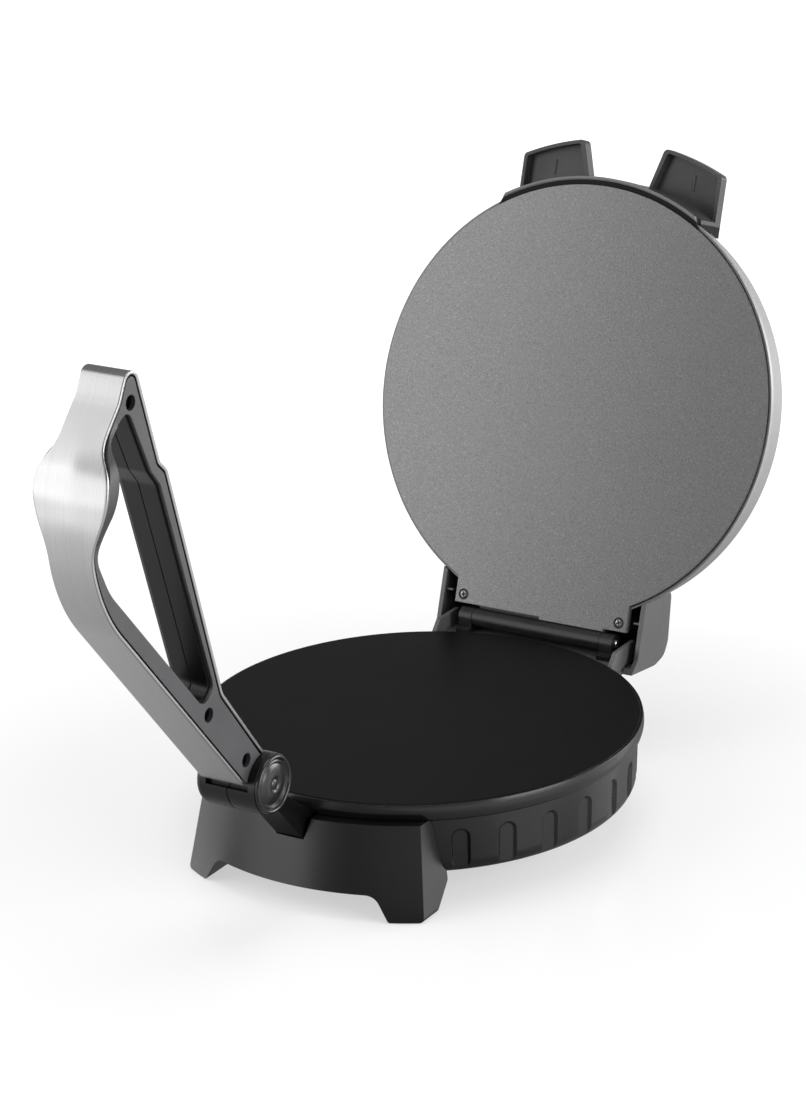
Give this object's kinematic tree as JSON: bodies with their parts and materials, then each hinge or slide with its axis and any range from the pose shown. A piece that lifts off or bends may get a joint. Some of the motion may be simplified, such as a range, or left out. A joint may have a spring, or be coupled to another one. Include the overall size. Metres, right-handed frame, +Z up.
{
  "type": "electric roti maker",
  "caption": "Round countertop flatbread cooker with a flat hot plate, a tilting heated lid with two finger lifts, and a loop-shaped press lever at the front.",
  "frame": {"origin": "on the cooking plate's vertical axis, at the level of the table it stands on", "axes": "+Z up, -Y towards the press lever at the front, +Y towards the lid hinge, +X to the right seen from the front"},
  "size_m": [0.2638, 0.5809, 0.3497],
  "materials": {
    "black_housing": "satin moulded",
    "black_gloss": "gloss moulded",
    "black_satin": "fine satin moulded",
    "grey_cover": "fine satin moulded",
    "nonstick_black": "black non-stick coating on cast aluminium",
    "nonstick_grey": "grey speckled non-stick coating on cast aluminium",
    "brushed_band": "brushed along its length",
    "silver_shell": "silver spray on pressed steel",
    "plated_steel": "zinc plated",
    "dark_steel": "dark satin",
    "heater_steel": "drawn tube",
    "pressed_steel": "bare pressed sheet",
    "rubber_pad": "matte"
  },
  "bodies": {
    "base": {"base_housing": "black_housing", "front_cradle": "black_gloss", "cooking_plate": "nonstick_black", "lower_heater": "heater_steel", "lower_heat_shield": "pressed_steel", "thermostat": "pressed_steel", "bottom_cover": "black_housing", "cord_gland": "rubber_pad", "hinge_tower": "black_satin", "hinge_bracket_right": "plated_steel", "hinge_bracket_left": "plated_steel", "hinge_pin": "plated_steel", "pivot_bracket": "black_gloss", "pivot_pin": "plated_steel", "foot_pad_front_right": "rubber_pad", "foot_pad_front_left": "rubber_pad", "foot_pad_rear_right": "rubber_pad", "foot_pad_rear_left": "rubber_pad", "base_screw_1": "plated_steel", "base_screw_2": "plated_steel", "base_screw_3": "plated_steel", "base_screw_4": "plated_steel", "plate_screw_1": "plated_steel", "plate_screw_2": "plated_steel", "plate_screw_3": "plated_steel"},
    "lid": {"lid_plate": "nonstick_grey", "lid_shell": "silver_shell", "lid_front_trim": "black_satin", "lid_hood": "black_satin", "lid_hinge_leaf": "dark_steel", "upper_heater": "heater_steel", "upper_heat_shield": "pressed_steel", "lid_screw_right": "plated_steel", "lid_screw_left": "plated_steel"},
    "lever": {"lever_band": "brushed_band", "lever_core_right": "black_satin", "lever_cover_right": "grey_cover", "lever_cap_right": "black_gloss", "lever_core_left": "black_satin", "lever_cover_left": "grey_cover", "lever_cap_left": "black_gloss", "lever_screw_1": "plated_steel", "lever_screw_2": "plated_steel", "lever_screw_3": "plated_steel"}
  },
  "joints": [
    {"name": "lid_hinge", "type": "hinge", "parent": "base", "child": "lid", "pos_m": [0, 0.1394, 0.06506], "axis": [1, 0, 0], "range_deg": [0, 108.9]},
    {"name": "lever_pivot", "type": "hinge", "parent": "base", "child": "lever", "pos_m": [0, -0.1785, 0.09195], "axis": [-1, 0, 0], "range_deg": [0, 105.7]}
  ]
}
